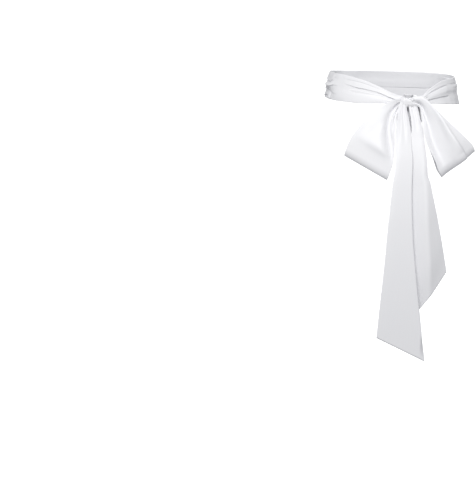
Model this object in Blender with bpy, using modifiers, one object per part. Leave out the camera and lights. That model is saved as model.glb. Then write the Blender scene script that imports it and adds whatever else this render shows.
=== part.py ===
"""A satin sash tied in a bow, as it sits round a waist: one long strip of cloth, cut on the bias at both
ends. The origin is the middle of the waist, +Z is up and -Y is the front, where the bow hangs.

The strip shows as six stretches: the waistband, the knot, two loops and two tails. Each stretch is a flat
grid of cloth whose points are carried to where the cloth lies, and Solidify gives it a wall.
"""

import bmesh
import bpy
import numpy as np

MM = 0.001

# Driving dimensions, in millimetres
STRIP_WIDTH = 95.0
WALL = 1.1
SEAM_GAP = 0.3

WAIST_HALF_WIDTH = 133.0
WAIST_HALF_DEPTH = 95.0
WAIST_CENTRE_X = -1.5
WAIST_FLARE = -0.2  # how much wider the waist is for each millimetre up

KNOT_CENTRE = np.array([34.6, -108.0, -21.3])
KNOT_HALF_SIZES = np.array([20.0, 17.0, 13.2])
KNOT_SQUARENESS = 2.6
KNOT_PLEATS = 5
KNOT_PLEAT_DEPTH = 0.05
KNOT_PLEAT_SLANT = 0.5

LOOP_TURN_RADIUS = 12.5
LOOP_FOLD_STATIONS = (-0.1, 0.5, 1.0)  # where along a loop its folds' leans are given
LOOP_LOOKAHEAD = 0.01  # the share of a loop over which the way it runs is measured

# How fine each grid of cloth is
BAND_ROWS, BAND_COLUMNS = 52, 16
LOOP_FRONT_ROWS, LOOP_TURN_ROWS, LOOP_BACK_ROWS, LOOP_COLUMNS = 12, 5, 8, 18
TAIL_ROWS, TAIL_COLUMNS = 17, 24
TAIL_ROW_CROWDING = 1.5  # over 1 sets the rows closer together near the knot
KNOT_SEGMENTS, KNOT_RINGS = 26, 12

SATIN_COLOUR = (0.93, 0.93, 0.95, 1.0)
SATIN_ROUGHNESS = 0.38

# The waistband's sections, from the knot's right side round the back to its left side. The angle is
# measured from the front towards +X, proud is how far the cloth stands out from the waist, cloth is the
# share of the strip's width that is open, and each lean is how strongly one fold tips the cloth.
BAND_SECTIONS = (
    # angle, bottom, top, proud, cloth, lean 1, lean 2, lean 3, lean 4, lean 5
    (17.0, -26.5, -14.5, 2.0, 0.34, 0.9, -1.0, 1.0, -1.0, 0.9),
    (24.5, -27.5, -14.0, 1.5, 0.36, 0.9, -1.0, 1.0, -1.0, 0.9),
    (33.5, -28.3, -0.7, 0.0, 0.55, 0.9, -0.8, 1.0, -0.7, 0.9),
    (49.5, -30.6, 15.3, 0.0, 0.74, 0.7, -0.4, 1.0, -0.3, 0.8),
    (90.0, -32.5, 22.5, 0.0, 0.78, 0.5, -0.1, 0.9, -0.1, 0.8),
    (135.0, -29.0, 28.0, 0.0, 0.78, 0.7, -0.3, 0.8, -0.2, 0.6),
    (180.0, -26.0, 31.0, 0.0, 0.78, 0.8, -0.2, 0.6, -0.2, 0.7),
    (225.0, -22.5, 33.0, 0.0, 0.78, 0.7, -0.2, 0.8, -0.2, 0.5),
    (270.0, -19.2, 34.0, 0.0, 0.78, 0.8, -0.1, 1.0, -0.1, 0.4),
    (315.0, -25.3, 26.8, 0.0, 0.78, 0.6, -0.3, 0.9, -0.2, 0.3),
    (334.0, -28.4, 17.2, 0.0, 0.76, 0.7, -0.4, 0.8, -0.4, 0.5),
    (350.0, -28.0, 3.6, 0.0, 0.58, 0.9, -0.8, 1.0, -0.7, 0.7),
    (366.0, -27.5, -12.0, 1.5, 0.38, 0.9, -1.0, 1.0, -1.0, 0.9),
    (373.0, -26.5, -14.5, 2.0, 0.34, 0.9, -1.0, 1.0, -1.0, 0.9),
)
BAND_FOLD_PLACES = (0.13, 0.32, 0.50, 0.68, 0.87)
BAND_FOLD_SPREAD = 0.085

# A loop's two edges, midway between its front and back layers, from inside the knot to its turned end
LEFT_LOOP_EDGES = (
    # share, outer x, outer y, outer z, inner x, inner y, inner z, half gap, cloth
    (-0.09, 27.0, -113.5, -18.0, 25.0, -113.5, -29.5, 4.3, 0.24),
    (0.00, 14.4, -113.5, -17.5, 12.5, -113.5, -33.0, 4.5, 0.30),
    (0.25, -21.0, -121.0, -35.5, 6.8, -131.0, -69.0, 9.5, 0.60),
    (0.50, -51.0, -127.0, -62.5, 7.0, -142.0, -104.0, 12.5, 0.87),
    (0.75, -76.6, -131.0, -93.0, 3.4, -149.0, -140.0, 14.0, 0.98),
    (1.00, -93.2, -132.0, -129.4, -9.2, -150.0, -174.2, 12.5, 1.00),
)
RIGHT_LOOP_EDGES = (
    # share, outer x, outer y, outer z, inner x, inner y, inner z, half gap, cloth
    (-0.09, 42.5, -113.5, -18.0, 44.0, -113.5, -29.5, 4.3, 0.24),
    (0.00, 56.0, -113.5, -17.5, 56.0, -113.5, -34.5, 4.5, 0.30),
    (0.25, 85.0, -119.0, -41.0, 60.0, -131.0, -72.0, 9.5, 0.60),
    (0.50, 111.0, -120.0, -66.0, 68.0, -144.0, -105.0, 12.5, 0.84),
    (0.75, 137.5, -116.0, -91.0, 80.5, -150.0, -136.0, 14.0, 0.98),
    (1.00, 162.5, -108.0, -118.5, 95.7, -148.0, -168.5, 12.5, 1.00),
)

# The folds that run out from the knot over a loop. Places are shares of the width from the outer edge,
# and a lean is how strongly the fold tips the cloth at the knot, half way and at the turned end.
LEFT_LOOP_FOLDS = (
    # place at the knot, place at the turn, spread, lean at the knot, half way, at the turn
    (0.10, 0.08, 0.080, 1.0, 0.25, 0.0),
    (0.30, 0.30, 0.085, -1.0, -0.20, 0.0),
    (0.50, 0.56, 0.080, 1.0, 0.55, 0.1),
    (0.69, 0.78, 0.075, -1.0, -0.90, -0.1),
    (0.92, 0.94, 0.080, 0.9, 0.45, 0.0),
)
RIGHT_LOOP_FOLDS = (
    # place at the knot, place at the turn, spread, lean at the knot, half way, at the turn
    (0.10, 0.20, 0.085, 1.0, 0.60, 0.2),
    (0.30, 0.38, 0.075, -1.0, -0.85, -0.2),
    (0.50, 0.60, 0.085, 1.0, 0.20, 0.0),
    (0.69, 0.80, 0.075, -1.0, -0.45, 0.0),
    (0.92, 0.94, 0.080, 0.9, 0.50, 0.0),
)

# A tail's sections, from inside the knot to the free end. Each tail starts at the edge that shows, and is
# folded back under itself again and again, as an accordion, until it is as wide as it is seen to be.
LONG_TAIL_SECTIONS = (
    # height of the shown edge, left, right, front, turn of each fold, facing, cloth
    (-25.0, 19.5, 30.5, -118.5, 172.0, 0.0, 0.34),
    (-36.0, 17.0, 31.0, -120.0, 172.0, 0.0, 0.38),
    (-78.0, 9.0, 35.6, -142.0, 172.0, 4.0, 0.60),
    (-136.0, 9.5, 40.0, -160.0, 172.0, 6.0, 0.75),
    (-188.0, 2.1, 40.2, -168.0, 170.0, 6.0, 0.88),
    (-262.0, -5.2, 43.5, -178.0, 165.0, 6.0, 1.00),
    (-338.0, -11.2, 50.1, -185.0, 145.0, 5.0, 1.00),
    (-420.0, -19.0, 60.5, -190.0, 95.0, 4.0, 1.00),
    (-480.2, -24.7, 69.4, -193.0, 30.0, 2.0, 1.00),
)
LONG_TAIL_DROP = 45.0  # how much lower the far edge ends than the shown one
LONG_TAIL_RIDGE = (0.16, 10.0)  # the ridge's place across the front layer, and how far it turns the cloth
SHORT_TAIL_SECTIONS = (
    # height of the shown edge, left, right, front, turn of each fold, facing, cloth
    (-25.0, 34.5, 45.5, -118.0, 170.0, 0.0, 0.28),
    (-34.0, 34.3, 47.0, -118.7, 170.0, 0.0, 0.31),
    (-48.0, 34.8, 51.0, -124.0, 170.0, 0.0, 0.34),
    (-78.0, 37.8, 56.0, -134.0, 168.0, 0.0, 0.40),
    (-116.0, 36.5, 63.0, -140.0, 165.0, -6.0, 0.52),
    (-162.0, 36.5, 71.0, -149.5, 160.0, -14.0, 0.70),
    (-248.0, 36.0, 90.5, -157.0, 140.0, -14.0, 0.92),
    (-351.0, 41.0, 110.0, -162.0, 95.0, -12.0, 1.00),
)
SHORT_TAIL_DROP = 142.0
SHORT_TAIL_RIDGE = (0.24, 34.0)

# How a tail is folded, all in shares of the strip's width or of the tail's length
TAIL_FOLDS = 2
FOLD_SOFTNESS = 0.075  # half the width of cloth that one fold takes to turn
LAST_FOLD_FADE = 0.25  # a second fold this near to the far edge starts to open flat
RIDGE_FORMED = 0.25  # how far down a tail its ridge has its full height
DROP_STARTS = 0.2  # how far down a tail the slant of its free end starts

# What is tried until the cloth fits between two edges
TIPS = np.linspace(0.0, 3.1, 156)  # how far the strongest fold tips the cloth, in radians
PITCHES = np.linspace(1.2, 0.2, 201)  # how far apart a tail's folds are, as shares of the width


def smoothed(share):
    """0 to 1 with soft ends."""
    share = np.clip(share, 0.0, 1.0)
    return share * share * (3.0 - 2.0 * share)


def curve_through(stations, values, at):
    """Values on a smooth curve through the given ones, which never swings past them."""
    stations, values = np.asarray(stations, float), np.asarray(values, float)
    slopes = np.diff(values) / np.diff(stations)
    before, after = slopes[:-1], slopes[1:]
    same_way = before * after > 0
    total = np.where(same_way, before + after, 1.0)
    inner = np.where(same_way, 2.0 * before * after / total, 0.0)
    tangents = np.concatenate([slopes[:1], inner, slopes[-1:]])
    i = np.clip(np.searchsorted(stations, at) - 1, 0, len(stations) - 2)
    step = stations[i + 1] - stations[i]
    s = (np.asarray(at, float) - stations[i]) / step
    return (
        values[i] * (1 + 2 * s) * (1 - s) ** 2
        + tangents[i] * step * s * (1 - s) ** 2
        + values[i + 1] * s * s * (3 - 2 * s)
        + tangents[i + 1] * step * s * s * (s - 1)
    )


def columns_at(table, at):
    """Every column of a table but the first, read at one station of the first."""
    rows = np.array(table, float)
    return [float(curve_through(rows[:, 0], column, at)) for column in rows[:, 1:].T]


def unit(vector):
    return vector / np.linalg.norm(vector)


def walked(headings):
    """The points that a walker passes who takes equal short steps along these headings, as complex numbers
    for a walk of length 1 in all."""
    steps = np.exp(1j * headings) / len(headings)
    return np.concatenate([[0.0], np.cumsum(steps)])


def section_between(edge_a, edge_b, outward, cloth, folds, columns, depth_share=0.0):
    """Points across the strip from one edge to the other. Where the edges are nearer to each other than
    the cloth is wide, the folds tip it until it has just room enough. A depth share of 0 keeps the edges in
    place, and 0.5 sets the folds half in and half out of them."""
    span = np.linalg.norm(edge_b - edge_a)
    across = unit(edge_b - edge_a)
    out = unit(outward - across * np.dot(outward, across))
    middles = (np.arange(columns) + 0.5) / columns
    shape = sum(lean * np.exp(-(((middles - place) / spread) ** 2)) for place, spread, lean in folds)
    reaches = np.array([abs(walked(tip * shape)[-1]) for tip in TIPS])
    enough = np.nonzero(reaches <= span / cloth)[0]
    tip = TIPS[enough[0]] if len(enough) else TIPS[np.argmin(reaches)]
    path = walked(tip * shape)
    path = path / path[-1] * span
    depth = path.imag - depth_share * (path.imag.max() + path.imag.min())
    return edge_a + np.outer(path.real, across) + np.outer(depth, out)


def cloth_from(name, points, material):
    """A sheet of cloth as an object: a flat grid whose points are carried to their places, with a wall."""
    rows, columns = points.shape[0] - 1, points.shape[1] - 1
    bm = bmesh.new()
    bmesh.ops.create_grid(bm, x_segments=rows, y_segments=columns, size=0.5)
    for vertex in bm.verts:
        row = round((vertex.co.x + 0.5) * rows)
        column = round((vertex.co.y + 0.5) * columns)
        vertex.co = points[row, column] * MM
    mesh = bpy.data.meshes.new(name)
    bm.to_mesh(mesh)
    bm.free()
    mesh.shade_smooth()
    mesh.materials.append(material)
    sheet = bpy.data.objects.new(name, mesh)
    wall = sheet.modifiers.new("wall", "SOLIDIFY")
    wall.thickness = WALL * MM
    wall.offset = 0.0
    return sheet


def waist_point(angle, height, proud):
    """A point of the waist's surface, at an angle from the front towards +X."""
    turn = np.radians(angle)
    out = WAIST_FLARE * height + proud
    x = WAIST_CENTRE_X + (WAIST_HALF_WIDTH + out) * np.sin(turn)
    y = -(WAIST_HALF_DEPTH + out) * np.cos(turn)
    return np.array([x, y, height])


def waistband_points():
    angles = np.linspace(BAND_SECTIONS[0][0], BAND_SECTIONS[-1][0], BAND_ROWS + 1)
    rows = []
    for angle in angles:
        bottom, top, proud, cloth, *leans = columns_at(BAND_SECTIONS, angle)
        folds = [(place, BAND_FOLD_SPREAD, lean) for place, lean in zip(BAND_FOLD_PLACES, leans)]
        edge_a, edge_b = waist_point(angle, bottom, proud), waist_point(angle, top, proud)
        outward = waist_point(angle, bottom, proud + 1.0) - edge_a
        width = cloth * STRIP_WIDTH
        rows.append(section_between(edge_a, edge_b, outward, width, folds, BAND_COLUMNS, 0.5))
    return np.array(rows)


def loop_points(edges, loop_folds, facing):
    """A loop's cloth: out from the knot along the front, round the turned end, and back behind.
    Facing is -1 where the outer edge lies to the left of the inner one, and +1 the other way."""

    def middle(share):
        *places, half_gap, cloth = columns_at(edges, share)
        return np.array(places[:3]), np.array(places[3:]), half_gap, cloth

    def folds_at(share):
        found = []
        for start, end, spread, *leans in loop_folds:
            place = start + (end - start) * smoothed(share)
            found.append((place, spread, float(curve_through(LOOP_FOLD_STATIONS, leans, share))))
        return found

    length = np.linalg.norm(middle(1.0)[0] - middle(0.0)[0])
    turn_starts = 1.0 - LOOP_TURN_RADIUS / length
    first = edges[0][0]
    rows = []

    def add_row(share, side, ahead):
        outer, inner, half_gap, cloth = middle(share)
        later, sooner = middle(min(share + LOOP_LOOKAHEAD, 1.0)), middle(share - LOOP_LOOKAHEAD)
        travel = unit((later[0] + later[1]) - (sooner[0] + sooner[1]))
        front = unit(np.cross(inner - outer, travel)) * facing
        shift = front * half_gap * side + travel * ahead
        edge_a, edge_b, width = outer + shift, inner + shift, cloth * STRIP_WIDTH
        rows.append(section_between(edge_a, edge_b, front, width, folds_at(share), LOOP_COLUMNS))

    for share in np.linspace(first, turn_starts, LOOP_FRONT_ROWS + 1):
        add_row(share, 1.0, 0.0)
    for turned in np.radians(np.linspace(0.0, 180.0, LOOP_TURN_ROWS + 1)[1:-1]):
        add_row(turn_starts, np.cos(turned), LOOP_TURN_RADIUS * np.sin(turned))
    for share in np.linspace(turn_starts, first, LOOP_BACK_ROWS + 1):
        add_row(share, -1.0, 0.0)
    return np.array(rows)


def accordion(pitch, turn, ridge_place, ridge_turn):
    """The strip's section where it is folded back under itself each pitch, from its shown edge. A soft
    ridge runs down its front layer, and the cloth between the shown edge and the ridge is turned away."""
    middles = (np.arange(TAIL_COLUMNS) + 0.5) / TAIL_COLUMNS

    def past(place):
        return smoothed((middles - place + FOLD_SOFTNESS) / (2.0 * FOLD_SOFTNESS))

    heading = ridge_turn * (past(ridge_place * pitch) - 1.0)
    for fold in range(1, TAIL_FOLDS + 1):
        way = 1.0 if fold % 2 else -1.0
        room_left = smoothed((1.0 - fold * pitch) / LAST_FOLD_FADE) if fold > 1 else 1.0
        heading += way * turn * room_left * past(fold * pitch)
    return walked(heading)


def tail_points(sections, drop, ridge, shown_side):
    """A tail's cloth. shown_side is -1 where its shown edge is the left one, and +1 the right one."""
    ridge_place, full_ridge = ridge
    depths = [(-row[0], *row[1:]) for row in sections]
    first, last = depths[0][0], depths[-1][0]
    share = np.linspace(0.0, 1.0, TAIL_COLUMNS + 1)
    rows = []
    for gone in np.linspace(0.0, 1.0, TAIL_ROWS + 1) ** TAIL_ROW_CROWDING:
        depth = first + (last - first) * gone
        left, right, front, turn, facing, cloth = columns_at(depths, depth)
        width = cloth * STRIP_WIDTH
        bends = np.radians(turn), ridge_place, np.radians(full_ridge) * smoothed(gone / RIDGE_FORMED)
        widths_tried = [np.ptp(accordion(pitch, *bends).real) * width for pitch in PITCHES]
        narrowing = np.minimum.accumulate(widths_tried)
        pitch = float(np.interp(right - left, narrowing[::-1], PITCHES[::-1]))
        path = accordion(pitch, *bends) * width * np.exp(1j * np.radians(-facing * shown_side))
        x = path.real - path.real.min()
        x = x * (right - left) / x.max()
        x = left + x if shown_side < 0 else right - x
        y = front + path.imag - path.imag.min()
        lowered = drop * smoothed((gone - DROP_STARTS) / (1.0 - DROP_STARTS))
        rows.append(np.stack([x, y, -depth - lowered * share], axis=-1))
    return np.array(rows)


def knot_mesh(name, gap, material):
    """The strip where it is wound round itself: a plump, squarish ball with slanting pleats."""
    bm = bmesh.new()
    bmesh.ops.create_uvsphere(bm, u_segments=KNOT_SEGMENTS, v_segments=KNOT_RINGS, radius=1.0)
    for vertex in bm.verts:
        way = np.array(vertex.co)
        roundness = np.sum(np.abs(way) ** KNOT_SQUARENESS) ** (-1.0 / KNOT_SQUARENESS)
        slant = KNOT_PLEATS * (way[0] + KNOT_PLEAT_SLANT * way[2]) * np.pi / 2.0
        pleat = 1.0 + KNOT_PLEAT_DEPTH * np.cos(slant) * (1.0 - abs(way[0]))
        vertex.co = (KNOT_CENTRE + way * roundness * (KNOT_HALF_SIZES * pleat + gap)) * MM
    bmesh.ops.recalc_face_normals(bm, faces=bm.faces)
    mesh = bpy.data.meshes.new(name)
    bm.to_mesh(mesh)
    bm.free()
    mesh.shade_smooth()
    mesh.materials.append(material)
    return bpy.data.objects.new(name, mesh)


def satin():
    material = bpy.data.materials.new("satin")
    material.use_nodes = True
    shader = material.node_tree.nodes["Principled BSDF"]
    shader.inputs["Base Color"].default_value = SATIN_COLOUR
    shader.inputs["Roughness"].default_value = SATIN_ROUGHNESS
    shader.inputs["Metallic"].default_value = 0.0
    return material


def main():
    for old in list(bpy.data.objects):
        bpy.data.objects.remove(old)
    sash = bpy.data.collections.new("satin_sash")
    cutters = bpy.data.collections.new("cutters")
    cutters.hide_render = True
    for collection in (sash, cutters):
        bpy.context.scene.collection.children.link(collection)

    cloth = satin()
    knot_room = knot_mesh("knot_room", SEAM_GAP, cloth)
    knot_room.hide_render = True
    knot_room.display_type = "WIRE"
    cutters.objects.link(knot_room)

    sash.objects.link(knot_mesh("knot", 0.0, cloth))
    stretches = (
        ("waistband", waistband_points()),
        ("loop_left", loop_points(LEFT_LOOP_EDGES, LEFT_LOOP_FOLDS, -1.0)),
        ("loop_right", loop_points(RIGHT_LOOP_EDGES, RIGHT_LOOP_FOLDS, 1.0)),
        ("tail_long", tail_points(LONG_TAIL_SECTIONS, LONG_TAIL_DROP, LONG_TAIL_RIDGE, -1)),
        ("tail_short", tail_points(SHORT_TAIL_SECTIONS, SHORT_TAIL_DROP, SHORT_TAIL_RIDGE, 1)),
    )
    for name, points in stretches:
        stretch = cloth_from(name, points, cloth)
        sash.objects.link(stretch)
        trim = stretch.modifiers.new("ends at the knot", "BOOLEAN")
        trim.operation = "DIFFERENCE"
        trim.solver = "EXACT"
        trim.object = knot_room


main()
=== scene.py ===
# %% [markdown]
# # A satin sash tied in a bow
# This lesson builds one long strip of white satin as it sits round a waist: a band, a knot, two loops and
# two hanging tails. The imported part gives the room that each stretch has, and everything here is made in
# its frame: metres, +Z up, the bow towards -Y. Shapes are worked out in millimetres, as a maker measures
# them. Cloth is made as cloth: a flat grid whose points know where they are on the strip, carried row by
# row to where the satin lies, with a thin wall.

import bmesh
import bpy
import numpy as np
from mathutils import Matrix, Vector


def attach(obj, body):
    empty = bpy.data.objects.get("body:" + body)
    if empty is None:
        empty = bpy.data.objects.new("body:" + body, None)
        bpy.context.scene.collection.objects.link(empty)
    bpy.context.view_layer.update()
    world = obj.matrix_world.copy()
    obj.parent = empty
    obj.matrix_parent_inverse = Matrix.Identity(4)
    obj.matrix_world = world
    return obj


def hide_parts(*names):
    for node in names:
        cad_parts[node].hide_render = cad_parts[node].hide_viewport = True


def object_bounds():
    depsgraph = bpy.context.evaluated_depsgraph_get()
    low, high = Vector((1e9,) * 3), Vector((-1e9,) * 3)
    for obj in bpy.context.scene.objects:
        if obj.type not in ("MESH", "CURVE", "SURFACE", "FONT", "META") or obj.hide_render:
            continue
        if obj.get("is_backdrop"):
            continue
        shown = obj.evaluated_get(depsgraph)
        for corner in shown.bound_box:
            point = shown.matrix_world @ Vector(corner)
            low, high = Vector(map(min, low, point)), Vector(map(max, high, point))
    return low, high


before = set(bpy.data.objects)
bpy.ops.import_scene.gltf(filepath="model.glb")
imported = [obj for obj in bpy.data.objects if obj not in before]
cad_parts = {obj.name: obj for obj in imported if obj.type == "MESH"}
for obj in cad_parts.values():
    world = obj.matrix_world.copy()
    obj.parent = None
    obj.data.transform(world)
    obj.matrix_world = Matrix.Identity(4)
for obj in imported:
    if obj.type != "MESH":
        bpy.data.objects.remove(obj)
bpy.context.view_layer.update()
MM = 0.001
print("nodes:", ", ".join(sorted(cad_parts)))

# %% [markdown]
# ## The camera
# The picture was taken from well back with a long lens, almost level with the waist, and the sash stands
# in its upper right. A camera could be moved sideways to put it there, but that would show the sash from
# another side. So the camera stands straight in front of the waist, a little above it, and is turned to
# the left and down.

# %% Camera
CAMERA_PLACE = (0.0, -3.19805, 0.11168)
CAMERA_LEFT, CAMERA_DOWN = 5.6528, 7.9817
LENS = 111.845
NEAR_LIMIT, FAR_LIMIT = 0.05, 60.0

lens = bpy.data.cameras.new("camera")
lens.lens = LENS
lens.sensor_width = 36.0
lens.clip_start, lens.clip_end = NEAR_LIMIT, FAR_LIMIT
camera = bpy.data.objects.new("camera", lens)
camera.location = CAMERA_PLACE
camera.rotation_euler = np.radians((90.0 - CAMERA_DOWN, 0.0, CAMERA_LEFT))
bpy.context.scene.collection.objects.link(camera)
bpy.context.scene.camera = camera
print("camera stands", round(-CAMERA_PLACE[1], 2), "m in front of the waist, lens", LENS, "mm")

# %% [markdown]
# ## Light and surroundings
# White cloth on a white ground shows only by its shading, so the ground has to be at least as bright as the
# brightest fold, and the light can't come from the camera. A large soft lamp stands in front, above and a
# little to the left, so cloth that faces down or to the right is in shade. A weaker one behind lights the
# far side, and the surroundings fill the shade with a pale, slightly blue light. The picture is shown
# without a film curve, so that white stays white.

# %% Light and surroundings
FILL_COLOUR = (0.965, 0.975, 1.0)
FILL_STRENGTH = 0.47

bpy.context.scene.view_settings.view_transform = "Standard"
world = bpy.data.worlds.new("pale surroundings")
bpy.context.scene.world = world
world.use_nodes = True
world.node_tree.nodes["Background"].inputs["Color"].default_value = (*FILL_COLOUR, 1.0)
world.node_tree.nodes["Background"].inputs["Strength"].default_value = FILL_STRENGTH


def soft_lamp(name, place, aim, size, watts, colour):
    lamp = bpy.data.lights.new(name, "AREA")
    lamp.shape = "DISK"
    lamp.size = size
    lamp.energy = watts
    lamp.color = colour
    stand = bpy.data.objects.new(name, lamp)
    stand.location = place
    way = np.array(aim) - np.array(place)
    stand.rotation_euler = (
        np.arctan2(np.hypot(way[0], way[1]), -way[2]),
        0.0,
        np.arctan2(way[1], way[0]) - np.pi / 2.0,
    )
    bpy.context.scene.collection.objects.link(stand)


soft_lamp(
    "key lamp",
    place=(-0.24, -1.58, 1.13),
    aim=(0.03, -0.12, -0.05),
    size=1.0,
    watts=22.0,
    colour=(1.0, 0.995, 0.985),
)
soft_lamp(
    "back lamp",
    place=(0.6, 1.9, 1.3),
    aim=(0.0, 0.0, -0.1),
    size=1.2,
    watts=12.0,
    colour=(1.0, 1.0, 1.0),
)
print("key lamp in front and above, back lamp behind, fill", FILL_STRENGTH)

# %% [markdown]
# The floor and the far ground are of one plain white paper that glows, as a photographer's lit backdrop
# does. Both are kept out of the lighting of the cloth, so how bright they are and how the folds are
# shaded can be set apart.

# %% White ground
GROUND_HEIGHT = -1.05
GROUND_SIZE = 40.0
GROUND_GLOW = 1.02
PAPER_WHITE, PAPER_ROUGHNESS = 0.9, 0.9


def white_ground(name, glow):
    paper = bpy.data.materials.new(name)
    paper.use_nodes = True
    shader = paper.node_tree.nodes["Principled BSDF"]
    shader.inputs["Base Color"].default_value = (PAPER_WHITE, PAPER_WHITE, PAPER_WHITE, 1.0)
    shader.inputs["Roughness"].default_value = PAPER_ROUGHNESS
    shader.inputs["Emission Color"].default_value = (1.0, 1.0, 1.0, 1.0)
    shader.inputs["Emission Strength"].default_value = glow
    return paper


def staged(name, mesh, material):
    mesh.materials.append(material)
    obj = bpy.data.objects.new(name, mesh)
    bpy.context.scene.collection.objects.link(obj)
    obj.visible_diffuse = False
    obj.visible_glossy = False
    obj.visible_shadow = False
    obj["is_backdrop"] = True


paper = white_ground("lit paper", GROUND_GLOW)
bm = bmesh.new()
bmesh.ops.create_grid(bm, x_segments=1, y_segments=1, size=GROUND_SIZE / 2.0)
bmesh.ops.translate(bm, verts=bm.verts, vec=(0.0, 0.0, GROUND_HEIGHT))
mesh = bpy.data.meshes.new("floor")
bm.to_mesh(mesh)
bm.free()
staged("floor", mesh, paper)

bm = bmesh.new()
bmesh.ops.create_uvsphere(bm, u_segments=48, v_segments=24, radius=GROUND_SIZE / 2.0)
bmesh.ops.reverse_faces(bm, faces=bm.faces)
mesh = bpy.data.meshes.new("far ground")
bm.to_mesh(mesh)
bm.free()
staged("far ground", mesh, paper)
print("floor", -GROUND_HEIGHT, "m below the waist")

# %% [markdown]
# ## The satin
# Satin is woven so that long threads lie along one face. They make it smooth, and they stretch its shine
# across the threads. The threads are too fine to be seen from where the camera stands, so they aren't
# drawn one by one. What shows is a shine that is drawn out, faint streaks along the strip and a slight
# waviness across it. The strip's own measures are its texture map, so all of it follows the cloth wherever
# a fold takes it.

# %% Satin
SATIN_COLOUR = (0.945, 0.945, 0.96)
SATIN_SHADE = (0.915, 0.915, 0.94)
WAVE_SPACING = 0.00377
WAVES_PER_UNIT = 20.0 / (2.0 * np.pi)
STREAK_LENGTH, STREAK_WIDTH = 0.060, 0.0012

satin = bpy.data.materials.new("white satin")
satin.use_nodes = True
nodes, links = satin.node_tree.nodes, satin.node_tree.links
shader = nodes["Principled BSDF"]
shader.inputs["Roughness"].default_value = 0.42
shader.inputs["Metallic"].default_value = 0.0
shader.inputs["Specular IOR Level"].default_value = 0.4
shader.inputs["Anisotropic"].default_value = 0.5
shader.inputs["Sheen Weight"].default_value = 0.12
shader.inputs["Sheen Roughness"].default_value = 0.5


def node(kind, **settings):
    made = nodes.new(kind)
    for name, value in settings.items():
        setattr(made, name, value)
    return made


strip_map = node("ShaderNodeUVMap", uv_map="strip")
along = node("ShaderNodeTangent", direction_type="UV_MAP", uv_map="strip")
links.new(along.outputs["Tangent"], shader.inputs["Tangent"])

streak_scale = node("ShaderNodeMapping")
streak_scale.inputs["Scale"].default_value = (1.0 / STREAK_LENGTH, 1.0 / STREAK_WIDTH, 1.0)
links.new(strip_map.outputs["UV"], streak_scale.inputs["Vector"])
streaks = node("ShaderNodeTexNoise", noise_dimensions="2D")
streaks.inputs["Scale"].default_value = 1.0
streaks.inputs["Detail"].default_value = 3.0
links.new(streak_scale.outputs["Vector"], streaks.inputs["Vector"])

shade = node("ShaderNodeMix", data_type="RGBA")
shade.inputs["A"].default_value = (*SATIN_SHADE, 1.0)
shade.inputs["B"].default_value = (*SATIN_COLOUR, 1.0)
links.new(streaks.outputs["Fac"], shade.inputs["Factor"])
links.new(shade.outputs["Result"], shader.inputs["Base Color"])

# A wave texture of scale 1 has WAVES_PER_UNIT waves in each unit of its map.
waves = node("ShaderNodeTexWave", wave_type="BANDS", bands_direction="X", wave_profile="SIN")
waves.inputs["Scale"].default_value = 1.0 / WAVE_SPACING / WAVES_PER_UNIT
waves.inputs["Distortion"].default_value = 0.4
links.new(strip_map.outputs["UV"], waves.inputs["Vector"])

unevenness = node("ShaderNodeMath", operation="ADD")
links.new(waves.outputs["Fac"], unevenness.inputs[0])
links.new(streaks.outputs["Fac"], unevenness.inputs[1])
relief = node("ShaderNodeBump")
relief.inputs["Strength"].default_value = 0.12
relief.inputs["Distance"].default_value = 0.0002
links.new(unevenness.outputs["Value"], relief.inputs["Height"])
links.new(relief.outputs["Normal"], shader.inputs["Normal"])
print("satin streaks", STREAK_LENGTH * 1000, "mm long, waves every", round(WAVE_SPACING * 1000, 1), "mm")

# %% [markdown]
# ## Carrying a strip of cloth
# A fold can be sculpted, simulated or drawn. A simulation finds folds of its own, and these folds were seen
# and measured, so here they are walked: a walker crosses the strip from one edge to the other in equal
# short steps, so its width can't stretch, and turning makes the folds. A gentle turn and back is a trough,
# and a turn of half a circle and back again is a pleat, with three layers on top of each other. The first
# helpers give soft steps and smooth curves through a few measured sections.

# %% Soft steps and measured curves
STRIP_WIDTH = 95.0
CLOTH_WALL = 0.6


def smoothed(share):
    """0 to 1 with soft ends."""
    share = np.clip(share, 0.0, 1.0)
    return share * share * (3.0 - 2.0 * share)


def curve_through(stations, values, at):
    """Values on a smooth curve through the given ones, which never swings past them."""
    stations, values = np.asarray(stations, float), np.asarray(values, float)
    slopes = np.diff(values) / np.diff(stations)
    before, after = slopes[:-1], slopes[1:]
    same_way = before * after > 0
    total = np.where(same_way, before + after, 1.0)
    inner = np.where(same_way, 2.0 * before * after / total, 0.0)
    tangents = np.concatenate([slopes[:1], inner, slopes[-1:]])
    i = np.clip(np.searchsorted(stations, at) - 1, 0, len(stations) - 2)
    step = stations[i + 1] - stations[i]
    s = (np.asarray(at, float) - stations[i]) / step
    return (
        values[i] * (1 + 2 * s) * (1 - s) ** 2
        + tangents[i] * step * s * (1 - s) ** 2
        + values[i + 1] * s * s * (3 - 2 * s)
        + tangents[i + 1] * step * s * s * (s - 1)
    )


def columns_at(table, at):
    """Every column of a table but the first, read at one station of the first."""
    rows = np.array(table, float)
    return [float(curve_through(rows[:, 0], column, at)) for column in rows[:, 1:].T]


def unit(vector):
    return vector / np.linalg.norm(vector)


def crossings_of(columns):
    """The middles of equal steps across the strip, as shares of its width."""
    return (np.arange(columns) + 0.5) / columns


def past(steps, place, softness):
    """0 before a place across the strip and 1 past it."""
    return smoothed((steps - place + softness) / (2.0 * softness))


def walked(headings):
    """The points that a walker passes along these headings, as complex numbers for a walk of length 1."""
    strides = np.exp(1j * headings) / headings.shape[-1]
    start = np.zeros(headings.shape[:-1] + (1,))
    return np.concatenate([start, np.cumsum(strides, axis=-1)], axis=-1)


folded_in_half = walked(np.pi * past(crossings_of(60), 0.5, 0.1))
print("a strip folded in half ends", round(abs(folded_in_half[-1]), 3), "of its width from where it starts")

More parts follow.
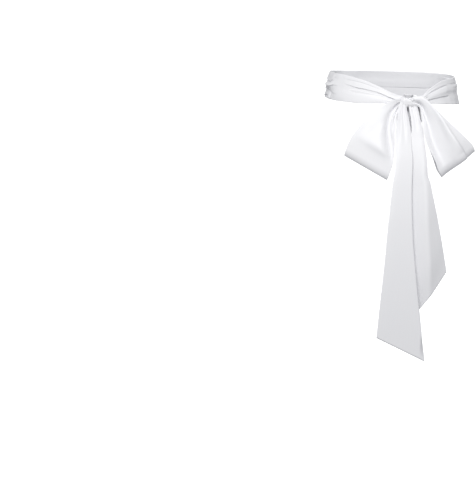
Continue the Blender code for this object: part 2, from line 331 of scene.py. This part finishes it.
# %% [markdown]
# A piece of cloth starts as Blender's flat grid. Its points are moved to where the walk took them, its map
# keeps the place of each point on the strip in metres, and Solidify gives it a thin wall. Every piece then
# hides the solid of the part it stands for, and is given the satin as its material.

# %% Cloth from a grid of points
def cloth_from(name, node_name, points, lengthwise):
    """points[row, column] in millimetres; lengthwise is each row's place along the strip, in millimetres."""
    rows, columns = points.shape[0] - 1, points.shape[1] - 1
    bm = bmesh.new()
    bmesh.ops.create_grid(bm, x_segments=rows, y_segments=columns, size=0.5)
    strip = bm.loops.layers.uv.new("strip")
    for face in bm.faces:
        for corner in face.loops:
            row = round((corner.vert.co.x + 0.5) * rows)
            column = round((corner.vert.co.y + 0.5) * columns)
            corner[strip].uv = (lengthwise[row] * MM, column / columns * STRIP_WIDTH * MM)
    for vertex in bm.verts:
        row = round((vertex.co.x + 0.5) * rows)
        column = round((vertex.co.y + 0.5) * columns)
        vertex.co = points[row, column] * MM
    mesh = bpy.data.meshes.new(name)
    bm.to_mesh(mesh)
    bm.free()
    mesh.shade_smooth()
    mesh.materials.append(satin)
    piece = bpy.data.objects.new(name, mesh)
    bpy.context.scene.collection.objects.link(piece)
    wall = piece.modifiers.new("satin wall", "SOLIDIFY")
    wall.thickness = CLOTH_WALL * MM
    wall.offset = 0.0
    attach(piece, "root")
    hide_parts(node_name)
    print(name, "has", rows, "x", columns, "faces before its wall")
    return piece


def lengths_along(points):
    """How far along the strip each row is, by the cloth's own middle."""
    steps = np.linalg.norm(np.diff(points, axis=0), axis=2).mean(axis=1)
    return np.concatenate([[0.0], np.cumsum(steps)])


# %% [markdown]
# ## The waistband
# A sash this wide is folded and tucked until it is as narrow as a waist wants it, and both long edges are
# turned under. Each section below gives how deep the turned edges and four pleats are against each other,
# and one factor makes them all deeper until the band is as high as it is measured to be. The pleats lie
# like the boards of a roof, the upper one over the lower one, so the light from above leaves a dark line
# below each. They are deepest at the left side and at the knot, shallow at the right side, and gone on the
# smooth front and back. The back can't be seen, so its edges are simply turned under. An edge turns a
# little more than half a circle, so that it comes to rest against the band.
#
# Angles go round the waist from the front towards +X, almost once round, as both ends of the band go into
# the knot. Lengths are in millimetres, folds are shares of the strip's width, and the troughs are leans in
# radians.

# %% Waistband sections
WAIST_HALF_WIDTH, WAIST_HALF_DEPTH = 133.0, 95.0
WAIST_CENTRE_X = -1.5
WAIST_FLARE = -0.2

BAND_ROWS, BAND_COLUMNS = 190, 120
PLEAT_PLACES = (0.185, 0.395, 0.565, 0.73)
PLEAT_TURN = np.radians(178.0)
PLEAT_SOFTNESS = 0.016
UNDER_TURN = np.radians(182.6)
TROUGH_PLACES = (0.30, 0.48, 0.66, 0.84)
TROUGH_SPREAD = 0.05

BAND_SECTIONS = (
    # angle, bottom, top, proud, share of the strip, under bottom, under top, 4 pleats, 4 troughs
    (17.0, -26.5, -14.5, 2.0, 0.42, 0.16, 0.10, 0.04, 0.06, 0.05, 0.04, 0.3, -0.3, 0.3, -0.3),
    (24.5, -27.5, -14.0, 1.5, 0.46, 0.14, 0.12, 0.02, 0.08, 0.03, 0.04, 0.3, -0.3, 0.3, -0.3),
    (33.5, -28.3, -0.7, 0.0, 0.64, 0.13, 0.12, 0.00, 0.09, 0.00, 0.05, 0.2, 0.4, -0.3, 0.3),
    (49.5, -30.6, 15.3, -0.5, 0.88, 0.15, 0.12, 0.00, 0.05, 0.00, 0.05, 0.0, 0.5, -0.4, 0.2),
    (58.0, -31.3, 18.0, -1.2, 0.96, 0.19, 0.13, 0.00, 0.00, 0.00, 0.05, 0.1, 0.5, -0.5, 0.1),
    (90.0, -32.5, 22.5, -2.2, 1.00, 0.18, 0.12, 0.00, 0.00, 0.01, 0.05, 0.2, 0.4, -0.6, 0.1),
    (125.0, -29.8, 26.9, -0.8, 1.00, 0.13, 0.20, 0.01, 0.01, 0.02, 0.01, 0.3, 0.1, -0.4, 0.2),
    (150.0, -27.8, 29.2, 0.0, 1.00, 0.04, 0.36, 0.00, 0.00, 0.00, 0.00, 0.2, -0.1, 0.1, 0.1),
    (212.0, -23.4, 32.5, 0.0, 1.00, 0.04, 0.36, 0.00, 0.00, 0.00, 0.00, 0.1, 0.1, -0.1, 0.2),
    (236.0, -21.5, 33.3, 0.0, 1.00, 0.27, 0.17, 0.00, 0.00, 0.00, 0.00, 0.1, 0.1, -0.1, 0.1),
    (262.0, -19.6, 33.8, 0.0, 1.00, 0.14, 0.10, 0.02, 0.03, 0.04, 0.02, 0.1, -0.1, 0.1, 0.0),
    (282.0, -20.6, 32.0, 0.0, 1.00, 0.08, 0.06, 0.03, 0.05, 0.06, 0.02, 0.2, 0.6, -0.9, 0.2),
    (291.0, -21.9, 31.0, 0.0, 1.00, 0.12, 0.08, 0.020, 0.030, 0.035, 0.012, -0.2, 0.8, -0.6, 0.1),
    (298.0, -23.0, 29.8, 0.0, 1.00, 0.18, 0.13, 0.005, 0.005, 0.006, 0.002, 0.1, 0.2, -0.2, 0.0),
    (310.0, -24.8, 27.8, 0.0, 1.00, 0.23, 0.17, 0.000, 0.000, 0.000, 0.000, 0.2, -0.1, 0.0, -0.1),
    (318.0, -26.0, 25.2, 0.0, 1.00, 0.25, 0.18, 0.000, 0.000, 0.000, 0.002, 0.1, -0.1, 0.0, -0.1),
    (328.0, -27.5, 20.5, 0.0, 0.98, 0.25, 0.18, 0.000, 0.000, 0.000, 0.005, 0.1, -0.2, 0.0, -0.1),
    (337.0, -28.4, 15.2, 0.0, 0.88, 0.25, 0.18, 0.000, 0.000, 0.000, 0.006, 0.1, -0.2, 0.0, -0.1),
    (350.0, -28.0, 3.6, 0.0, 0.64, 0.24, 0.17, 0.000, 0.000, 0.000, 0.001, 0.2, -0.2, 0.2, -0.2),
    (366.0, -27.5, -12.0, 1.5, 0.46, 0.20, 0.14, 0.005, 0.010, 0.010, 0.006, 0.5, -0.5, 0.5, -0.5),
    (373.0, -26.5, -14.5, 2.0, 0.42, 0.16, 0.10, 0.04, 0.04, 0.04, 0.04, 0.3, -0.3, 0.3, -0.3),
)
FACTORS = np.linspace(0.0, 2.4, 97)


def waist_point(angle, height, proud):
    """A point of the waist's surface, at an angle from the front towards +X."""
    turn = np.radians(angle)
    out = WAIST_FLARE * height + proud
    x = WAIST_CENTRE_X + (WAIST_HALF_WIDTH + out) * np.sin(turn)
    y = -(WAIST_HALF_DEPTH + out) * np.cos(turn)
    return np.array([x, y, height])


def band_headings(factors, under_bottom, under_top, pleats, troughs):
    """Headings across the band for one or more factors, from the hidden lower edge to the upper one."""
    steps = crossings_of(BAND_COLUMNS)
    f = np.atleast_1d(factors)[:, None]
    bottom_turn = 1.0 - past(steps, f * under_bottom, PLEAT_SOFTNESS)
    heading = UNDER_TURN * (bottom_turn - past(steps, 1.0 - f * under_top, PLEAT_SOFTNESS))
    for place, pleat in zip(PLEAT_PLACES, pleats):
        half = f * pleat / 2.0
        over = past(steps, place - half, PLEAT_SOFTNESS) - past(steps, place + half, PLEAT_SOFTNESS)
        heading = heading + PLEAT_TURN * over
    for place, lean in zip(TROUGH_PLACES, troughs):
        heading = heading + lean * np.exp(-(((steps - place) / TROUGH_SPREAD) ** 2))
    return heading


def band_row(angle):
    bottom, top, proud, cloth, under_bottom, under_top, *rest = columns_at(BAND_SECTIONS, angle)
    shape = under_bottom, under_top, rest[:4], rest[4:]
    width = cloth * STRIP_WIDTH
    heights = np.ptp(walked(band_headings(FACTORS, *shape)).real, axis=1) * width
    narrowing = np.minimum.accumulate(heights)
    factor = float(np.interp(top - bottom, narrowing[::-1], FACTORS[::-1]))
    path = walked(band_headings(factor, *shape))[0] * width
    first, last = path[np.argmin(path.real)], path[np.argmax(path.real)]
    path = path * np.exp(-1j * np.angle(last - first))
    up = (path.real - path.real.min()) / np.ptp(path.real)
    out = path.imag - (path.imag.max() + path.imag.min()) / 2.0
    return np.array([waist_point(angle, bottom + (top - bottom) * u, proud + o) for u, o in zip(up, out)])


# %% Waistband
angles = np.linspace(BAND_SECTIONS[0][0], BAND_SECTIONS[-1][0], BAND_ROWS + 1)
band_points = np.array([band_row(angle) for angle in angles])
band_lengths = lengths_along(band_points)
waistband = cloth_from("satin_waistband", "waistband", band_points, band_lengths)
print("the band runs", round(band_lengths[-1]), "mm round the waist")

# %% [markdown]
# ## The loops
# Each loop of a bow is a hollow fold: the strip runs out from the knot, turns softly over at its end and
# comes back behind. At the knot it is gathered into narrow pleats, and a few of them run far out as
# troughs and ridges. Two edges in space are measured, and the walker's turns are made stronger until the
# cloth between them has just room enough.
#
# Where the edges are as far apart as the cloth is wide, there is nothing left to fold, and a fold that
# stopped there at once would leave a line across the loop. So the last of each fold fades. The layer behind
# is drawn in a little along its inner edge, so that it stays hidden behind the front one.

# %% Loop sections
LOOP_TURN_LENGTH = 16.0
LOOP_FOLD_STATIONS = (-0.1, 0.5, 1.0)
LOOP_LOOKAHEAD = 0.01
LOOP_FRONT_ROWS, LOOP_TURN_ROWS, LOOP_BACK_ROWS, LOOP_COLUMNS = 80, 24, 60, 80
LOOP_FADE = 0.012
BACK_DRAWN_IN = 0.10
BACK_EASES_FROM, BACK_EASES_OVER, BACK_EASES_BY = 0.4, 0.5, 0.5
TIPS = np.linspace(0.0, 3.1, 311)

LEFT_LOOP_EDGES = (
    # share of the way out, outer x, y and z, inner x, y and z, half gap, share of the strip
    (-0.09, 27.0, -113.5, -18.0, 25.0, -113.5, -29.5, 4.3, 0.24),
    (0.00, 14.4, -113.5, -17.5, 12.5, -113.5, -33.0, 4.5, 0.30),
    (0.25, -21.0, -121.0, -35.5, 6.8, -131.0, -69.0, 9.5, 0.53),
    (0.50, -51.0, -127.5, -62.5, 7.0, -142.0, -104.0, 12.5, 0.83),
    (0.75, -76.6, -132.5, -93.0, 4.6, -150.0, -140.0, 13.0, 1.00),
    (1.00, -93.2, -138.0, -129.4, -5.8, -157.0, -175.6, 10.0, 1.00),
)
RIGHT_LOOP_EDGES = (
    # share of the way out, outer x, y and z, inner x, y and z, half gap, share of the strip
    (-0.09, 41.0, -116.5, -13.0, 42.0, -117.0, -30.0, 4.3, 0.34),
    (0.00, 55.0, -118.0, -13.5, 54.5, -118.5, -35.5, 4.5, 0.40),
    (0.25, 85.0, -122.0, -41.0, 59.0, -132.0, -72.0, 9.5, 0.60),
    (0.50, 111.0, -128.0, -66.0, 66.0, -144.0, -105.0, 12.5, 0.84),
    (0.75, 137.5, -131.0, -91.0, 80.5, -152.0, -136.0, 13.0, 0.96),
    (1.00, 164.0, -127.0, -117.8, 93.0, -156.0, -171.2, 10.5, 1.00),
)
LEFT_LOOP_FOLDS = (
    # place at the knot, place at the turn, spread, then the lean at the knot, half way and at the turn
    (0.10, 0.06, 0.070, -0.3, 0.10, 0.0),
    (0.34, 0.98, 0.120, -0.6, -0.45, -0.1),
    (0.62, 1.14, 0.080, 1.0, 0.55, 0.1),
    (0.52, 0.30, 0.060, 0.0, 0.10, 0.0),
    (0.80, 0.92, 0.050, -0.9, -0.10, 0.0),
    (0.93, 0.96, 0.050, 0.9, 0.10, 0.0),
)
RIGHT_LOOP_FOLDS = (
    # place at the knot, place at the turn, spread, then the lean at the knot, half way and at the turn
    (0.02, 0.12, 0.100, 0.2, 0.40, 0.30),
    (0.06, 0.29, 0.065, 0.5, 0.90, 0.80),
    (0.20, 0.48, 0.090, 0.2, -0.35, 0.20),
    (0.40, 0.58, 0.110, -0.4, -0.10, -0.30),
    (0.56, 0.76, 0.100, -0.6, -0.15, -0.10),
    (0.75, 0.92, 0.080, 0.8, 0.70, 0.15),
    (0.92, 0.99, 0.050, -0.6, 0.40, 0.05),
)


def section_between(edge_a, edge_b, outward, cloth, folds, columns):
    """Points across the strip from one edge to the other, with folds just deep enough for its width. Where
    the edges are almost as far apart as the cloth is wide, the folds die out softly."""
    span = np.linalg.norm(edge_b - edge_a)
    across = unit(edge_b - edge_a)
    out = unit(outward - across * np.dot(outward, across))
    steps = crossings_of(columns)
    shape = sum(lean * np.exp(-(((steps - place) / spread) ** 2)) for place, spread, lean in folds)
    reaches = np.abs(walked(TIPS[:, None] * shape)[:, -1])
    slack = LOOP_FADE * np.log1p(np.exp((1.0 - span / cloth) / LOOP_FADE))
    enough = np.nonzero(reaches <= 1.0 - slack)[0]
    tip = TIPS[enough[0]] if len(enough) else TIPS[np.argmin(reaches)]
    path = walked(tip * shape)
    path = path / path[-1] * span
    return edge_a + np.outer(path.real, across) + np.outer(path.imag, out)


def loop_points(edges, loop_folds, facing):
    """Out from the knot along the front, round the turned end, and back behind. Facing is -1 where the
    outer edge lies to the left of the inner one, and +1 the other way."""

    def middle(share):
        *places, half_gap, cloth = columns_at(edges, share)
        return np.array(places[:3]), np.array(places[3:]), half_gap, cloth

    def folds_at(share):
        found = []
        for start, end, spread, *leans in loop_folds:
            place = start + (end - start) * smoothed(share)
            found.append((place, spread, float(curve_through(LOOP_FOLD_STATIONS, leans, share))))
        return found

    length = np.linalg.norm(middle(1.0)[0] - middle(0.0)[0])
    turn_starts = 1.0 - LOOP_TURN_LENGTH / length
    first = edges[0][0]
    rows = []

    def add_row(share, side, ahead):
        outer, inner, half_gap, cloth = middle(share)
        later, sooner = middle(min(share + LOOP_LOOKAHEAD, 1.0)), middle(share - LOOP_LOOKAHEAD)
        travel = unit((later[0] + later[1]) - (sooner[0] + sooner[1]))
        front = unit(np.cross(inner - outer, travel)) * facing
        shift = front * half_gap * side + travel * ahead
        eased = 1.0 - BACK_EASES_BY * smoothed((share - BACK_EASES_FROM) / BACK_EASES_OVER)
        drawn_in = BACK_DRAWN_IN * (1.0 - side) / 2.0 * eased
        edge_a, edge_b = outer + shift, inner + shift + (outer - inner) * drawn_in
        width = cloth * STRIP_WIDTH
        rows.append(section_between(edge_a, edge_b, front, width, folds_at(share), LOOP_COLUMNS))

    for share in np.linspace(first, turn_starts, LOOP_FRONT_ROWS + 1):
        add_row(share, 1.0, 0.0)
    for turned in np.radians(np.linspace(0.0, 180.0, LOOP_TURN_ROWS + 1)[1:-1]):
        add_row(turn_starts, np.cos(turned), LOOP_TURN_LENGTH * np.sin(turned))
    for share in np.linspace(turn_starts, first, LOOP_BACK_ROWS + 1):
        add_row(share, -1.0, 0.0)
    return np.array(rows)


# %% Loops
left_points = loop_points(LEFT_LOOP_EDGES, LEFT_LOOP_FOLDS, -1.0)
left_lengths = lengths_along(left_points)
loop_left = cloth_from("satin_loop_left", "loop_left", left_points, left_lengths)
right_points = loop_points(RIGHT_LOOP_EDGES, RIGHT_LOOP_FOLDS, 1.0)
right_lengths = lengths_along(right_points)
loop_right = cloth_from("satin_loop_right", "loop_right", right_points, right_lengths)
print("the loops take", round(left_lengths[-1]), "and", round(right_lengths[-1]), "mm of strip")

# %% [markdown]
# ## The tails
# The two ends hang from the knot, folded back under themselves as an accordion, and open out on the way
# down to their slanting cut ends. The walker turns almost half a circle at each fold. How far apart the
# folds are is tried until the tail is as wide as it is seen to be. The layer behind is a little narrower
# than the front one, as when a strip is folded by hand, so that it doesn't peep out at the edge. Near the
# knot, narrow waves are what is left of the gathers.

# %% Tail sections
TAIL_ROWS, TAIL_COLUMNS = 160, 110
TAIL_ROW_CROWDING = 1.35
TAIL_FOLDS = 2
FOLD_SOFTNESS = 0.030
RIDGE_SOFTNESS = 0.075
LAST_FOLD_FADE = 0.25
FOLD_TUCK = 0.04
DROP_STARTS = 0.2
GATHER_SPREAD = 0.10
GATHERS_END = 0.20
PITCHES = np.linspace(1.2, 0.2, 201)

LONG_TAIL_SECTIONS = (
    # height of the shown edge, left, right, front, turn of each fold, facing, cloth, ridge place, ridge turn
    (-25.0, 15.0, 27.6, -121.5, 172.0, 0.0, 0.36, 0.20, 0.0),
    (-36.0, 11.2, 28.3, -124.5, 172.0, 0.0, 0.46, 0.20, 20.0),
    (-56.0, 9.0, 32.6, -132.5, 172.0, 2.0, 0.64, 0.20, 30.0),
    (-78.0, 8.3, 36.5, -142.0, 172.0, 4.0, 0.75, 0.20, 26.0),
    (-110.0, 7.5, 39.0, -152.5, 172.0, 5.0, 0.80, 0.18, 20.0),
    (-136.0, 8.5, 41.2, -161.0, 172.0, 6.0, 0.84, 0.16, 12.0),
    (-188.0, 2.1, 40.0, -173.0, 170.0, 5.0, 0.92, 0.16, 8.0),
    (-262.0, -5.2, 42.5, -183.5, 165.0, 5.0, 1.00, 0.16, 6.0),
    (-338.0, -11.2, 50.3, -188.5, 150.0, 4.0, 1.00, 0.16, 6.0),
    (-420.0, -19.3, 61.5, -191.0, 100.0, 3.0, 1.00, 0.16, 4.0),
    (-482.5, -25.0, 70.0, -192.0, 30.0, 2.0, 1.00, 0.16, 2.0),
)
LONG_TAIL_DROP = 46.0
LONG_TAIL_GATHERS = ((0.28, -0.9), (0.46, 0.9), (0.66, -0.9), (0.84, 0.8))
SHORT_TAIL_SECTIONS = (
    # height of the shown edge, left, right, front, turn of each fold, facing, cloth, ridge place, ridge turn
    (-25.0, 32.2, 47.0, -120.5, 170.0, 0.0, 0.40, 0.30, 0.0),
    (-36.0, 33.0, 50.0, -122.5, 170.0, 0.0, 0.45, 0.30, 20.0),
    (-56.0, 37.0, 55.0, -131.5, 170.0, 0.0, 0.52, 0.25, 25.0),
    (-78.0, 38.6, 60.5, -139.5, 168.0, 0.0, 0.58, 0.20, 15.0),
    (-92.0, 36.0, 63.0, -143.5, 167.0, -2.0, 0.64, 0.17, 15.0),
    (-116.0, 35.0, 66.5, -151.0, 166.0, -6.0, 0.72, 0.16, 20.0),
    (-162.0, 36.0, 73.0, -163.0, 160.0, -12.0, 0.86, 0.20, 44.0),
    (-248.0, 36.0, 91.0, -176.5, 145.0, -15.0, 0.98, 0.39, 54.0),
    (-300.0, 38.5, 101.0, -178.5, 122.0, -15.0, 1.00, 0.44, 54.0),
    (-355.0, 41.0, 110.5, -173.0, 95.0, -14.0, 1.00, 0.49, 46.0),
)
SHORT_TAIL_DROP = 114.0
SHORT_TAIL_GATHERS = ((0.45, 0.8), (0.70, -0.8))


def accordion(pitches, turn, ridge_place, ridge_turn, gathers):
    """Headings where the strip is folded back under itself at each pitch, from its shown edge. A soft ridge
    runs down its front layer, and the cloth between the shown edge and the ridge is turned away. Gathers
    are narrow waves of the front layer."""
    steps = crossings_of(TAIL_COLUMNS)
    pitch = np.atleast_1d(pitches)[:, None]
    heading = ridge_turn * (past(steps, ridge_place * pitch, RIDGE_SOFTNESS) - 1.0)
    for fold in range(1, TAIL_FOLDS + 1):
        way = 1.0 if fold % 2 else -1.0
        place = fold * pitch - (fold - 1) * FOLD_TUCK
        room_left = smoothed((1.0 - place) / LAST_FOLD_FADE) if fold > 1 else 1.0
        heading = heading + way * turn * room_left * past(steps, place, FOLD_SOFTNESS)
    for place, lean in gathers:
        heading = heading + lean * np.exp(-(((steps / pitch - place) / GATHER_SPREAD) ** 2))
    return heading


def tail_points(sections, drop, gathers, shown_side):
    """A tail's cloth. shown_side is -1 where its shown edge is the left one, and +1 the right one."""
    depths = [(-row[0], *row[1:]) for row in sections]
    first, last = depths[0][0], depths[-1][0]
    share = np.linspace(0.0, 1.0, TAIL_COLUMNS + 1)
    rows = []
    for gone in np.linspace(0.0, 1.0, TAIL_ROWS + 1) ** TAIL_ROW_CROWDING:
        depth = first + (last - first) * gone
        left, right, front, turn, facing, cloth, ridge_place, ridge_turn = columns_at(depths, depth)
        width = cloth * STRIP_WIDTH
        waves = [(place, lean * (1.0 - smoothed(gone / GATHERS_END))) for place, lean in gathers]
        bends = np.radians(turn), ridge_place, np.radians(ridge_turn), waves
        widths_tried = np.ptp(walked(accordion(PITCHES, *bends)).real, axis=1) * width
        narrowing = np.minimum.accumulate(widths_tried)
        pitch = float(np.interp(right - left, narrowing[::-1], PITCHES[::-1]))
        path = walked(accordion(pitch, *bends))[0] * width
        path = path * np.exp(1j * np.radians(-facing * shown_side))
        x = path.real - path.real.min()
        x = x * (right - left) / x.max()
        x = left + x if shown_side < 0 else right - x
        y = front + path.imag - path.imag.min()
        lowered = drop * smoothed((gone - DROP_STARTS) / (1.0 - DROP_STARTS))
        rows.append(np.stack([x, y, -depth - lowered * share], axis=-1))
    return np.array(rows)


# %% Tails
long_points = tail_points(LONG_TAIL_SECTIONS, LONG_TAIL_DROP, LONG_TAIL_GATHERS, -1)
long_lengths = lengths_along(long_points)
tail_long = cloth_from("satin_tail_long", "tail_long", long_points, long_lengths)
short_points = tail_points(SHORT_TAIL_SECTIONS, SHORT_TAIL_DROP, SHORT_TAIL_GATHERS, 1)
short_lengths = lengths_along(short_points)
tail_short = cloth_from("satin_tail_short", "tail_short", short_points, short_lengths)
print("the tails take", round(long_lengths[-1]), "and", round(short_lengths[-1]), "mm of strip")

# %% [markdown]
# ## The knot
# The knot is the strip wound once round the gathered middle. Under tension it rounds out, and its pleats
# run round it at a slant. How it is wound inside can't be seen, so it is one closed form: a ball that is
# pulled squarish is plump enough, and the pleats are pressed into it as narrow valleys that fade at its two
# ends, where the gathered cloth comes out. Short dents are the wrinkles between them.

# %% Knot
KNOT_CENTRE = np.array([34.6, -108.0, -23.2])
KNOT_HALF_SIZES = np.array([20.0, 17.0, 13.4])
KNOT_SQUARENESS = 2.6
KNOT_VALLEY_FADE = 3
KNOT_SEGMENTS, KNOT_RINGS = 160, 96
KNOT_VALLEYS = (
    # place across the knot, slant, width, depth
    (-0.80, -0.30, 0.070, 1.2),
    (-0.52, -0.15, 0.045, 0.8),
    (-0.22, 0.10, 0.050, 0.7),
    (0.23, 0.64, 0.045, 3.2),
    (0.62, 0.70, 0.070, 0.8),
)
KNOT_WRINKLES = (
    # place across, height, size across, size in height, depth
    (-0.20, 0.62, 0.38, 0.22, 2.8),
    (-0.38, -0.12, 0.06, 0.10, 0.8),
    (-0.22, -0.16, 0.04, 0.10, 0.6),
    (0.02, -0.14, 0.06, 0.12, 0.8),
    (-0.40, -0.42, 0.18, 0.07, 0.7),
    (-0.55, 0.25, 0.12, 0.10, 0.6),
    (-0.10, 0.22, 0.08, 0.14, 0.6),
)

bm = bmesh.new()
bmesh.ops.create_uvsphere(bm, u_segments=KNOT_SEGMENTS, v_segments=KNOT_RINGS, radius=1.0)
strip = bm.loops.layers.uv.new("strip")
for face in bm.faces:
    for corner in face.loops:
        way = corner.vert.co
        round_it = np.arctan2(way.z, -way.y) * KNOT_HALF_SIZES[1]
        corner[strip].uv = (round_it * MM, way.x * KNOT_HALF_SIZES[0] * MM)
for vertex in bm.verts:
    way = np.array(vertex.co)
    roundness = np.sum(np.abs(way) ** KNOT_SQUARENESS) ** (-1.0 / KNOT_SQUARENESS)
    pressed = 0.0
    for place, slant, width, depth in KNOT_VALLEYS:
        off = way[0] + slant * way[2] - place
        pressed += depth * np.exp(-((off / width) ** 2)) * (1.0 - abs(way[0]) ** KNOT_VALLEY_FADE)
    for across, height, wide, high, depth in KNOT_WRINKLES:
        pressed += depth * np.exp(-(((way[0] - across) / wide) ** 2) - ((way[2] - height) / high) ** 2)
    vertex.co = (KNOT_CENTRE + way * (roundness * KNOT_HALF_SIZES - pressed)) * MM
mesh = bpy.data.meshes.new("satin_knot")
bm.to_mesh(mesh)
bm.free()
mesh.shade_smooth()
mesh.materials.append(satin)
knot = bpy.data.objects.new("satin_knot", mesh)
bpy.context.scene.collection.objects.link(knot)
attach(knot, "root")
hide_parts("knot")
print("the knot has", len(mesh.polygons), "faces")

# %% [markdown]
# Two small stretches of the same wrap show beside the knot. Its upper edge curls over towards the front,
# and faces down enough to be in shade. Its end, the whole strip gathered into waves, is tucked down behind
# the tails, and shows dark in the slits between their folds.

# %% Edge and end of the wrap
CURL_PROFILE = (
    # y, z
    (-110.0, -11.5),
    (-118.0, -9.6),
    (-125.0, -8.3),
    (-126.2, -8.6),
    (-123.6, -12.0),
    (-119.8, -16.5),
)
CURL_LEFTS = (22.0, 22.0, 22.3, 22.8, 24.5, 28.5)
CURL_RIGHTS = (41.0, 41.0, 40.3, 39.0, 35.5, 31.5)
CURL_SAG, CURL_BOW = 1.8, 1.5
CURL_ROWS, CURL_COLUMNS = 40, 24
END_SECTIONS = (
    # height, left, right, front
    (-24.0, 22.0, 62.0, -104.0),
    (-36.0, 24.0, 62.0, -106.0),
    (-56.0, 28.0, 60.0, -113.0),
    (-78.0, 31.0, 50.0, -122.0),
    (-90.0, 34.0, 44.0, -126.0),
)
END_ROWS, END_COLUMNS = 30, 110
END_WAVE, END_WAVES = 2.6, 8.0


def curl_points():
    stations = np.linspace(0.0, 1.0, len(CURL_PROFILE))
    across = np.linspace(0.0, 1.0, CURL_COLUMNS + 1)
    rows = []
    for at in np.linspace(0.0, 1.0, CURL_ROWS + 1):
        y, z = (float(curve_through(stations, column, at)) for column in np.array(CURL_PROFILE).T)
        left = float(curve_through(stations, CURL_LEFTS, at))
        right = float(curve_through(stations, CURL_RIGHTS, at))
        sag = CURL_SAG * across
        bow = CURL_BOW * (2.0 * across - 1.0) ** 2
        rows.append(np.stack([left + (right - left) * across, y + bow, z - sag], axis=-1))
    return np.array(rows)


def end_points():
    sections = [(-row[0], *row[1:]) for row in END_SECTIONS]
    across = np.linspace(0.0, 1.0, END_COLUMNS + 1)
    wave = END_WAVE * np.sin(2.0 * np.pi * END_WAVES * across)
    rows = []
    for depth in np.linspace(sections[0][0], sections[-1][0], END_ROWS + 1):
        left, right, front = columns_at(sections, depth)
        rows.append(np.stack([left + (right - left) * across, front + wave, 0.0 * across - depth], axis=-1))
    return np.array(rows)


# %% Lay the wrap's edge and end
curled_points, tucked_points = curl_points(), end_points()
curled_lengths, tucked_lengths = lengths_along(curled_points), lengths_along(tucked_points)
wrap_edge = cloth_from("satin_wrap_edge", "knot", curled_points, curled_lengths)
wrap_end = cloth_from("satin_wrap_end", "knot", tucked_points, tucked_lengths)

# %% [markdown]

# %% [markdown]
# ## The sash's box
# The dressed sash has to fill the same room as the imported part, so its box is measured and printed.

# %% Measure the sash's box
low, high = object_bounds()
print("the sash measures", [round(1000.0 * (h - l)) for l, h in zip(low, high)], "mm")
